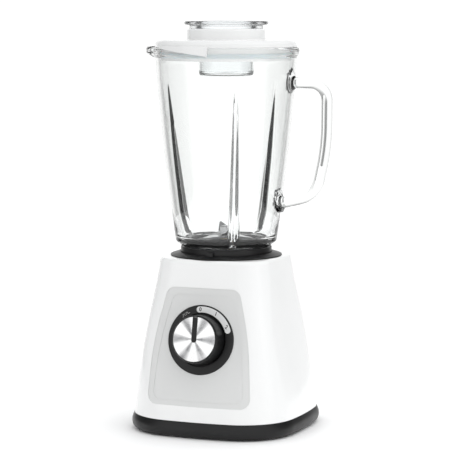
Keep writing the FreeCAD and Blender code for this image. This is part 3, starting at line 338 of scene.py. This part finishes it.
def dial_sheen(finish, place):
    """0 to about 1 round the dial: a painted reflection, the fan-shaped light and dark wedges that the lamps
    make on a turned face, painted into the colour.
    """
    parts = finish.node("ShaderNodeSeparateXYZ")
    finish.link(place, parts.inputs[0])
    angle = finish.node("ShaderNodeMath", operation="ARCTAN2")
    finish.link(parts.outputs["X"], angle.inputs[0])
    finish.link(parts.outputs["Y"], angle.inputs[1])
    fans = finish.node("ShaderNodeMath", operation="MULTIPLY")
    fans.inputs[1].default_value = PAINTED_REFLECTION_FANS
    finish.link(angle.outputs[0], fans.inputs[0])
    wave = finish.node("ShaderNodeMath", operation="COSINE")
    finish.link(fans.outputs[0], wave.inputs[0])
    unit = finish.node("ShaderNodeVectorMath", operation="NORMALIZE")
    finish.link(place, unit.inputs[0])
    painted_streaks = finish.node("ShaderNodeTexNoise", Scale=2.6, Detail=5.0, Roughness=0.6)
    finish.link(unit.outputs[0], painted_streaks.inputs["Vector"])
    blend = finish.node("ShaderNodeMath", operation="MULTIPLY")
    finish.link(finish.ramp(wave.outputs[0], 0.95, 0.0, -1.0, 0.1), blend.inputs[0])
    finish.link(finish.ramp(painted_streaks.outputs["Fac"], 0.55, 1.1, 0.35, 0.6), blend.inputs[1])
    return blend.outputs[0]


def spun_aluminium():
    """Turned aluminium: rings of fine grooves about the dial's axis, and fans of light and dark that are a
    painted reflection in the colour.
    """
    finish = Finish("spun_aluminium", (0.96, 0.962, 0.965), 0.28, Metallic=1.0, Anisotropic=0.85)
    place = dial_place(finish)
    rings = finish.node("ShaderNodeCombineXYZ")
    finish.link(dial_radius(finish, place), rings.inputs["X"])
    grooves = finish.noise(0.22, 3.0, place=rings.outputs[0])
    finish.vary_roughness(grooves, 0.07)
    # painted reflection: the colour darkens in fans round the dial, standing in for the light and dark
    # wedges of the metal's reflection
    finish.vary_colour(dial_sheen(finish, place), (0.27, 0.27, 0.28), 0.0, 1.0)
    finish.bump(grooves, 0.006, 0.5)
    tangent = finish.node("ShaderNodeTangent", direction_type="RADIAL", axis="Y")
    finish.link(tangent.outputs[0], finish.shader.inputs["Tangent"])
    return finish.material


def brushed_metal(name, colour, roughness, stretch, size=0.5, spread=0.1):
    """Ground or drawn metal whose fine lines run along the axes with the small stretch."""
    finish = Finish(name, colour, roughness, Metallic=1.0, Anisotropic=0.4)
    lines = finish.noise(size, 3.0, stretch)
    finish.vary_roughness(lines, spread)
    finish.vary_colour(finish.noise(9.0, 3.0), tuple(c * 0.86 for c in colour))
    finish.bump(lines, 0.01, 0.4)
    return finish.material


def cast_metal():
    """Die-cast aluminium with a rough skin."""
    finish = Finish("cast_aluminium", (0.6, 0.61, 0.62), 0.52, Metallic=1.0)
    finish.vary_roughness(finish.noise(3.0, 4.0), 0.12)
    finish.vary_colour(finish.noise(14.0, 3.0), (0.5, 0.51, 0.52))
    finish.bump(finish.noise(0.8, 4.0), 0.06, 0.7)
    return finish.material


def stripes(finish, direction, pitch, distortion):
    """Bands with a pitch in millimetres across a direction."""
    bands = finish.node(
        "ShaderNodeTexWave", wave_type="BANDS", bands_direction=direction, Scale=1.0, Distortion=distortion
    )
    scale = finish.node("ShaderNodeMapping")
    scale.inputs["Scale"].default_value = [math.pi / (10 * pitch * MM)] * 3
    finish.link(finish.place, scale.inputs["Vector"])
    finish.link(scale.outputs[0], bands.inputs["Vector"])
    return bands.outputs["Fac"]


def laminations():
    """A stack of thin steel sheets, each half a millimetre, seen on edge."""
    finish = Finish("lamination_steel", (0.42, 0.42, 0.43), 0.38, Metallic=1.0)
    sheets = stripes(finish, "Z", 0.5, 0.0)
    finish.vary_colour(sheets, (0.2, 0.2, 0.21), 0.0, 0.6)
    finish.vary_roughness(finish.noise(5.0), 0.08)
    finish.bump(sheets, 0.05, 0.6)
    return finish.material


def copper_wire():
    """Enamelled winding wire, 0.7 mm thick, lying side by side."""
    finish = Finish("copper_wire", (0.62, 0.24, 0.09), 0.26, Metallic=1.0, Coat_Weight=0.5)
    turns = stripes(finish, "DIAGONAL", 0.7, 1.2)
    finish.vary_colour(turns, (0.24, 0.08, 0.03), 0.0, 0.8)
    finish.vary_roughness(finish.noise(4.0), 0.08)
    finish.bump(turns, 0.2, 0.9)
    return finish.material


def carbon():
    """Pressed carbon of the motor's brushes."""
    finish = Finish("carbon", (0.03, 0.03, 0.032), 0.5, Metallic=0.2)
    finish.vary_roughness(finish.noise(2.0, 4.0), 0.12)
    finish.bump(finish.noise(0.3, 4.0), 0.03, 0.6)
    return finish.material


def floor_white():
    """Dull white paint of the table."""
    finish = Finish("floor", (0.97, 0.97, 0.97), 0.6, Specular_IOR_Level=0.2)
    finish.vary_roughness(finish.noise(400.0, 2.0), 0.05)
    return finish.material


# the frame of the dial: its +Z points out of the dial's face and its +Y at twelve o'clock
DIAL_TILT = 11.1
DIAL = (
    Matrix.Translation((0, -67.3 * MM, 94.3 * MM))
    @ Matrix.Rotation(math.pi / 2 - math.radians(DIAL_TILT), 4, "X")
)
# the number of light and dark fans in the dial's painted reflection
PAINTED_REFLECTION_FANS = 6.0

MATERIALS = {
    "white_plastic": white_plastic(),
    "grey_panel": panel_grey(),
    "black_plastic": moulded(
        "black_plastic", (0.008, 0.008, 0.0085), 0.36, 0.5, 0.02, 0.8, Specular_IOR_Level=0.35
    ),
    "dark_plastic": moulded("dark_plastic", (0.05, 0.05, 0.053), 0.4, 0.6, 0.02, 0.85),
    "carrier_plastic": moulded("carrier_plastic", (0.022, 0.023, 0.025), 0.22, 0.8, 0.012, 0.8),
    "scale_print": moulded("scale_print", (0.78, 0.785, 0.78), 0.38, 0.4, 0.006, 0.98),
    "rubber": rubber(),
    "seal_silicone": milky_silicone(),
    "spun_aluminium": spun_aluminium(),
    "cast_aluminium": cast_metal(),
    "steel": brushed_metal("steel", (0.56, 0.56, 0.57), 0.3, (1, 1, 0.2)),
    "bearing_steel": brushed_metal("bearing_steel", (0.62, 0.62, 0.63), 0.16, (0.2, 0.2, 1), 0.4, 0.05),
    "blade_steel": brushed_metal("blade_steel", (0.6, 0.6, 0.61), 0.22, (1, 0.12, 1), 0.35, 0.08),
    "lamination_steel": laminations(),
    "copper_wire": copper_wire(),
    "brass": brushed_metal("brass", (0.78, 0.57, 0.22), 0.26, (1, 1, 0.3)),
    "carbon": carbon(),
    "clear_glass": clear_glass(),
    "clear_plastic": clear_plastic(),
    "mark_black": moulded("mark_black", (0.025, 0.025, 0.026), 0.45, 0.5, 0.004, 0.9),
    "mark_white": moulded("mark_white", (0.7, 0.7, 0.69), 0.45, 0.5, 0.004, 0.95),
    "floor": floor_white(),
}


def finish_nodes():
    """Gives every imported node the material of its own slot."""
    for node in nodes.values():
        for slot in node.material_slots:
            slot.material = MATERIALS[slot.material.name.split(".")[0]]


# ---------------------------------------------------------------- mesh tools

def rounded(points, closed=True, reach=0.5, longest=4.0):
    """A polyline through (x, y) or (x, y, radius) points, in millimetres, as an even list of points.

    A corner with a radius becomes an arc. Long stretches are divided, and a point close to each end of
    an arc keeps its shading to itself.
    """
    count = len(points)
    corners = []
    for i, point in enumerate(points):
        here = np.array(point[:2], float)
        radius = point[2] if len(point) > 2 else 0.0
        inner = closed or 0 < i < count - 1
        if radius <= 0 or not inner:
            corners.append([here])
            continue
        before = np.array(points[i - 1][:2], float) - here
        after = np.array(points[(i + 1) % count][:2], float) - here
        room = min(np.linalg.norm(before), np.linalg.norm(after))
        before /= np.linalg.norm(before)
        after /= np.linalg.norm(after)
        half = math.acos(np.clip(before @ after, -1, 1)) / 2
        back = min(radius / math.tan(half), 0.49 * room)
        radius = back * math.tan(half)
        middle = here + (before + after) / np.linalg.norm(before + after) * (radius / math.sin(half))
        first, last = here + before * back, here + after * back
        turn = math.pi - 2 * half
        steps = max(2, math.ceil(turn / math.radians(9)), math.ceil(radius * turn / longest))
        start = math.atan2(*(first - middle)[::-1])
        end = math.atan2(*(last - middle)[::-1])
        sweep = (end - start + math.pi) % (2 * math.pi) - math.pi
        arc = [
            middle + radius * np.array((math.cos(start + sweep * t), math.sin(start + sweep * t)))
            for t in np.linspace(0, 1, steps + 1)
        ]
        corners.append(arc)
    line = []
    for i, arc in enumerate(corners):
        line += arc
        if i == count - 1 and not closed:
            break
        head, tail = arc[-1], corners[(i + 1) % count][0]
        gap = np.linalg.norm(tail - head)
        if gap > 3 * reach:
            aim = (tail - head) / gap
            inside = gap - 2 * reach
            parts = max(1, math.ceil(inside / longest))
            line += [head + aim * (reach + inside * k / parts) for k in range(parts + 1)]
    kept = [p for i, p in enumerate(line) if i == 0 or np.linalg.norm(p - line[i - 1]) > 1e-6]
    return np.array(kept)


def add_mesh(name, points, faces, material):
    """A smooth-shaded closed mesh from points in millimetres."""
    mesh = bpy.data.meshes.new(name)
    mesh.from_pydata((np.asarray(points) * MM).tolist(), [], faces)
    mesh.validate()
    mesh.materials.append(MATERIALS[material])
    face_outwards(mesh)
    shade_smooth(mesh)
    return add_object(name, mesh)


def face_outwards(mesh):
    """Turns every face of a closed mesh outwards."""
    shape = bmesh.new()
    shape.from_mesh(mesh)
    bmesh.ops.recalc_face_normals(shape, faces=shape.faces)
    shape.to_mesh(mesh)
    shape.free()


def shade_smooth(mesh):
    """Shades every face of a mesh smooth."""
    mesh.polygons.foreach_set("use_smooth", [True] * len(mesh.polygons))


def mesh_of(holder):
    """A new mesh with the shape of an object, its modifiers or its bevel included."""
    bpy.context.view_layer.update()
    shown = holder.evaluated_get(bpy.context.evaluated_depsgraph_get())
    return bpy.data.meshes.new_from_object(shown)


def show_as_clear(piece, body):
    """Rides a clear piece on a body; it casts no shadow and stays out of the diffuse light."""
    piece.visible_shadow = False
    piece.visible_diffuse = False
    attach(piece, body)


def ring_faces(rows, columns, closed_rows):
    """Quads of a grid whose columns close on themselves, as do its rows if closed_rows."""
    faces = []
    for i in range(rows if closed_rows else rows - 1):
        for j in range(columns):
            k = (j + 1) % columns
            low, high = i * columns, ((i + 1) % rows) * columns
            faces.append((low + j, low + k, high + k, high + j))
    return faces


def lathe(profile, segments):
    """Points and faces of a profile turned about Z; its two ends lie on the axis."""
    turns = np.linspace(0, 2 * math.pi, segments, endpoint=False)
    inner = profile[1:-1]
    radii, heights = inner[:, 0:1], inner[:, 1:2]
    grid = np.stack([radii * np.cos(turns), radii * np.sin(turns), heights + 0 * turns], axis=2)
    grid = grid.reshape(-1, 3)
    faces = ring_faces(len(inner), segments, False)
    points = grid.tolist() + [[0, 0, profile[0][1]], [0, 0, profile[-1][1]]]
    first, last, end_row = len(grid), len(grid) + 1, (len(inner) - 1) * segments
    for j in range(segments):
        k = (j + 1) % segments
        faces.append((first, k, j))
        faces.append((last, end_row + j, end_row + k))
    return points, faces


def soft_step(value, low, high):
    """0 below low and 1 above high, with a smooth rise between them."""
    share = np.clip((value - low) / (high - low), 0, 1)
    return share * share * (3 - 2 * share)


def soft_max(a, b, blend):
    """The larger of two values, with a rounded change between them."""
    share = np.clip(0.5 + 0.5 * (b - a) / blend, 0, 1)
    return a + (b - a) * share + blend * share * (1 - share)


# ---------------------------------------------------------------- the glass jug

JUG_TOP = top_of("glass_jug")
JUG_BOTTOM = 169.0
RIM_RADIUS = 71.7

SPOUT_HEADING = 270.0
SPOUT_REACH = 83.5      # from the jug's axis to the lip
SPOUT_RADIUS = 21.5     # of the lip, seen from above
NO_SPOUT = -20.0        # a reach far inside the wall

RIB_HEADINGS = (30.0, 150.0, 270.0)
RIB_LOW, RIB_HIGH = 184.0, 342.0
RIB_DEPTH = 9.5
RIB_CREST_LOW = (37.6, 186.0)       # the crest's line, as radius and height
RIB_CREST_HIGH = (63.2, 338.5)

PAD_RADIUS = 11.75      # of the round pads that join the handle to the wall
PAD_STRAIGHT = 2.9      # of the pad's side, along the handle
PAD_ROUND = 1.6         # of the pad's edge after that
FILLET_END = 7.5
PAD_LIFTS = (2.8, 1.2)  # of the lower and the upper pad above the handle's own line


def jug_profile():
    """The wall of the jug as a closed outline: up the outside, over the rim and down the inside."""
    rim, top = RIM_RADIUS, JUG_TOP
    return rounded((
        (41.2, JUG_BOTTOM), (41.2, 180.4, 0.8), (44.8, 180.5, 0.8), (49.8, 184.2, 2.5),
        (53.0, 207.0, 300.0), (61.2, 270.0, 1200.0), (67.6, 336.0, 900.0),
        (rim - 2.2, top - 9.2, 2.5), (rim - 0.1, top - 7.0, 2.6), (rim, top, 3.0),
        (rim - 5.2, top, 1.8), (rim - 5.9, top - 6, 4.0),
        (63.6, 336.0, 900.0), (57.2, 270.0, 1200.0), (49.0, 207.0, 300.0),
        (44.4, 187.8, 7.0), (37.6, 184.8, 3.0), (35.6, 183.4, 0.9), (35.6, JUG_BOTTOM),
    ), longest=3.0)


def jug_turns():
    """Angles round the jug, closer together at the ribs and the spout."""
    turns = [0.0]
    while turns[-1] < 360:
        away = min(abs((turns[-1] - h + 180) % 360 - 180) for h in RIB_HEADINGS)
        step = 1.8
        if away < 7.5:
            step = 0.35
        elif away < 30:
            step = 1.25
        turns.append(turns[-1] + step)
    return np.radians(np.array(turns[:-1]) * 360 / turns[-1])


def away_from(heading, middle):
    """The signed angle from a middle in degrees to a heading in radians, within half a turn."""
    return (heading - math.radians(middle) + math.pi) % (2 * math.pi) - math.pi


def spout_push(heading, height):
    """How far the pouring lip stands out beyond the round wall."""
    off = away_from(heading, SPOUT_HEADING)
    middle = SPOUT_REACH - SPOUT_RADIUS
    under_root = np.maximum(SPOUT_RADIUS ** 2 - (middle * np.sin(off)) ** 2, 0)
    reach = middle * np.cos(off) + np.sqrt(under_root) - RIM_RADIUS
    reach = np.where((np.abs(off) < 1.0) & (under_root > 0), reach, NO_SPOUT)
    lip = soft_max(0 * reach, reach, 3.0) - soft_max(0.0, NO_SPOUT, 3.0)
    return lip * soft_step(height, JUG_TOP - 17.0, JUG_TOP - 5.5)


def rib_depth(radius, heading, height):
    """How far a stirring rib stands in from the inner wall: its crest is straight and fades out on top."""
    share = np.clip((height - RIB_LOW) / (RIB_HIGH - RIB_LOW), 0, 1)
    along = (height - RIB_CREST_LOW[1]) / (RIB_CREST_HIGH[1] - RIB_CREST_LOW[1])
    crest_radius = RIB_CREST_LOW[0] + (RIB_CREST_HIGH[0] - RIB_CREST_LOW[0]) * along
    depth = np.clip(radius - crest_radius, 0.0, RIB_DEPTH) * soft_step(-height, -RIB_HIGH, -RIB_HIGH + 6)
    foot_half = 5.0 - 2.6 * share
    crest_half = 1.1 - 0.5 * share
    total = 0 * radius
    for rib in RIB_HEADINGS:
        off = away_from(heading, rib)
        aside = np.abs(radius * np.sin(off))
        shape = (foot_half - aside) / (foot_half - crest_half)
        shape = -soft_max(-shape, -1.0, 0.35)
        shape = soft_max(shape, 0 * shape, 0.35)
        near = (np.abs(off) < 0.5) & (aside < foot_half * 1.6)
        total = total + np.where(near, depth * np.clip(shape, 0, 1), 0)
    return total


def jug_points():
    """The jug's points, row by row along the wall's outline, with the numbers of rows and columns."""
    profile = jug_profile()
    turns = jug_turns()
    radius = np.repeat(profile[:, 0:1], len(turns), axis=1)
    height = np.repeat(profile[:, 1:2], len(turns), axis=1)
    heading = np.repeat(turns[None, :], len(profile), axis=0)
    crown = int(np.argmax(profile[:, 1] + 0.01 * profile[:, 0]))
    past_crown = np.arange(len(profile)) >= crown
    inside = past_crown[:, None] & (height > RIB_LOW - 1.0)
    radius = radius + spout_push(heading, height) * np.where(inside, 1.12, 1.0)
    radius = radius - np.where(inside, rib_depth(radius, heading, height), 0)
    x, y = radius * np.sin(heading), -radius * np.cos(heading)
    return np.stack([x, y, height], axis=2).reshape(-1, 3), len(profile), len(turns)


def handle_line():
    """The handle's centre line in the XZ plane, from the lower pad to the upper one."""
    return rounded((
        (53.2, 222.0), (60.0, 223.6, 40.0), (93.6, 231.6, 34.0), (104.0, 280.0, 200.0),
        (104.6, 340.6, 24.0), (70.0, 340.6, 90.0), (65.2, 340.9),
    ), closed=False, reach=0.4, longest=2.0)


def handle_stations():
    """Places along the handle, closer together at the pads, with their points and unit headings."""
    line = handle_line()
    run = np.concatenate([[0], np.cumsum(np.linalg.norm(np.diff(line, axis=0), axis=1))])
    total = run[-1]
    along = np.concatenate([
        np.linspace(0, 7, 22, endpoint=False),
        np.linspace(7, total - 7, 110, endpoint=False),
        np.linspace(total - 7, total, 23),
    ])
    path = np.stack([np.interp(along, run, line[:, k]) for k in (0, 1)], axis=1)
    heading = np.gradient(path, along, axis=0)
    heading /= np.linalg.norm(heading, axis=1)[:, None]
    smooth = np.ones(5) / 5
    for _ in range(2):
        padded = np.pad(heading, ((2, 2), (0, 0)), mode="edge")
        heading = np.stack([np.convolve(padded[:, k], smooth, mode="valid") for k in (0, 1)], axis=1)
    heading /= np.linalg.norm(heading, axis=1)[:, None]
    return along, path, heading


def pad_flare(end):
    """1 on a pad and 0 beyond it, at a distance from the handle's end."""
    return 1 - soft_step(end, 3.2, 5.4)


def with_pads(half_size, end):
    """A section's half-size along the handle, grown near its ends into a round pad and its fillet."""
    pad_end = PAD_STRAIGHT + PAD_ROUND
    into_edge = np.clip(end - PAD_STRAIGHT, 0, PAD_ROUND) / PAD_ROUND
    pad = PAD_RADIUS - PAD_ROUND * (1 - np.sqrt(1 - into_edge ** 2))
    fillet = 5.6 + 2.2 * (1 - soft_step(end, pad_end, FILLET_END))
    flare = pad_flare(end)
    on_pad = pad * flare + fillet * (1 - flare)
    beyond = np.where(end < FILLET_END, np.maximum(half_size, fillet), half_size)
    return np.where(end < pad_end, on_pad, beyond)


def handle_points(columns=56):
    """Elliptical sections along the handle: round arms, a wide flat grip and a round pad at each end."""
    along, path, heading = handle_stations()
    end = np.minimum(along, along[-1] - along)
    grip = soft_step(end, 20.0, 52.0)
    wide = with_pads(5.9 + 3.0 * grip, end)[:, None]
    thick = with_pads(5.4 - 0.4 * grip, end)[:, None]
    lift = (np.where(along < along[-1] / 2, *PAD_LIFTS) * pad_flare(end))[:, None]
    turns = np.linspace(0, 2 * math.pi, columns, endpoint=False)
    out = thick * np.sin(turns)
    x = path[:, 0:1] - heading[:, 1:2] * out
    y = wide * np.cos(turns)
    z = path[:, 1:2] + lift + heading[:, 0:1] * out
    return np.stack([x, y, z], axis=2).reshape(-1, 3), len(along), columns


def build_jug_glass():
    """The jug's wall with its ribs and spout, fused with the handle into one glass piece."""
    points, rows, columns = jug_points()
    jug = add_mesh("jug_glass", points, ring_faces(rows, columns, True), "clear_glass")
    points, rows, columns = handle_points()
    faces = ring_faces(rows, columns, False)
    faces.append(tuple(range(columns))[::-1])
    faces.append(tuple((rows - 1) * columns + j for j in range(columns)))
    handle = add_mesh("handle_glass", points, faces, "clear_glass")
    union = jug.modifiers.new("union", "BOOLEAN")
    union.operation = "UNION"
    union.solver = "MANIFOLD"
    union.object = handle
    fused = mesh_of(jug)
    shade_smooth(fused)
    jug.modifiers.clear()
    jug.data = fused
    bpy.data.objects.remove(handle)
    show_as_clear(jug, "jug")
    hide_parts("glass_jug", "jug_handle")


# ---------------------------------------------------------------- the measuring cap

def build_measuring_cap():
    """A clear cup with a wide grip flange that hangs in the lid's neck."""
    top, low = top_of("measuring_cap"), bottom_of("measuring_cap")
    shoulder, flange, floor = top - 7.5, top - 3.8, low + 2.4
    profile = rounded((
        (0, low), (26.8, low, 2.0), (27.6, top - 15.0, 300.0), (27.6, shoulder, 0.4),
        (36.0, shoulder, 0.5), (36.2, flange, 0.8), (41.2, flange, 1.6), (41.2, top, 1.9),
        (25.4, top, 1.6), (25.2, top - 15.0, 300.0), (24.6, floor, 2.4), (0, floor),
    ), closed=False, longest=4.0)
    points, faces = lathe(profile, 192)
    cap = add_mesh("measuring_cap_clear", points, faces, "clear_plastic")
    show_as_clear(cap, "cap")
    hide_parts("measuring_cap")


# ---------------------------------------------------------------- marks on the dial

SCALE_RADIUS = 29.5
SCALE_NUMBERS = ((0, -4.0), (1, 29.0), (2, 62.0))
PULSE_CLOCK = -35.0
PULSE_EDGES = (-4.4, -2.9, -1.2, 0.5, 2.2, 4.4)
PULSE_LEVELS = (-1, 1, -1, 1, -1)


def add_mark(name, curve, material, clock, height, lean):
    """A raised mark from a curve, at a clock angle in degrees and a height above the dial's frame.

    A lean of 1 turns it with the scale, and a lean of 0 keeps it upright.
    """
    holder = add_object(name + "_curve", curve)
    mesh = mesh_of(holder)
    bpy.data.objects.remove(holder)
    mesh.materials.clear()
    mesh.materials.append(MATERIALS[material])
    angle = math.radians(clock)
    across, up = SCALE_RADIUS * math.sin(angle), SCALE_RADIUS * math.cos(angle)
    place = Matrix.Translation(Vector((across, up, height)) * MM)
    mark = add_object(name, mesh)
    mark.matrix_world = DIAL @ place @ Matrix.Rotation(-angle * lean, 4, "Z")
    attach(mark, "base")


def add_scale_number(number, clock):
    """A raised printed number beside the dial."""
    name = f"scale_digit_{number}"
    font = bpy.data.curves.new(name, "FONT")
    font.body = str(number)
    font.size = 5.2 * MM
    font.align_x = "CENTER"
    font.align_y = "CENTER"
    font.extrude = 0.04 * MM
    font.offset = 0.09 * MM
    add_mark(name, font, "mark_black", clock, 1.17, 0.5)


def add_pulse_sign():
    """A square-wave sign for the pulse position."""
    curve = bpy.data.curves.new("pulse_sign", "CURVE")
    curve.dimensions = "3D"
    curve.bevel_depth = 0.2 * MM
    curve.use_fill_caps = True
    wave = []
    for left, right, level in zip(PULSE_EDGES, PULSE_EDGES[1:], PULSE_LEVELS):
        wave += [(left, level), (right, level)]
    spline = curve.splines.new("POLY")
    spline.points.add(len(wave) - 1)
    for point, (x, y) in zip(spline.points, wave):
        point.co = (x * MM, y * MM, 0, 1)
    add_mark("pulse_sign", curve, "mark_white", PULSE_CLOCK, 1.1, 1.0)


def build_scale_marks():
    """The numbers and the pulse sign round the dial."""
    for number, clock in SCALE_NUMBERS:
        add_scale_number(number, clock)
    add_pulse_sign()


# ---------------------------------------------------------------- run

finish_nodes()
add_camera()
set_world()
add_floor()
build_jug_glass()
build_measuring_cap()
build_scale_marks()
add_soft_sun("overhead", (-0.3, 0.15, -1.0), 50.0, 0.3)
scene.view_settings.view_transform = "Standard"
scene.view_settings.look = "None"
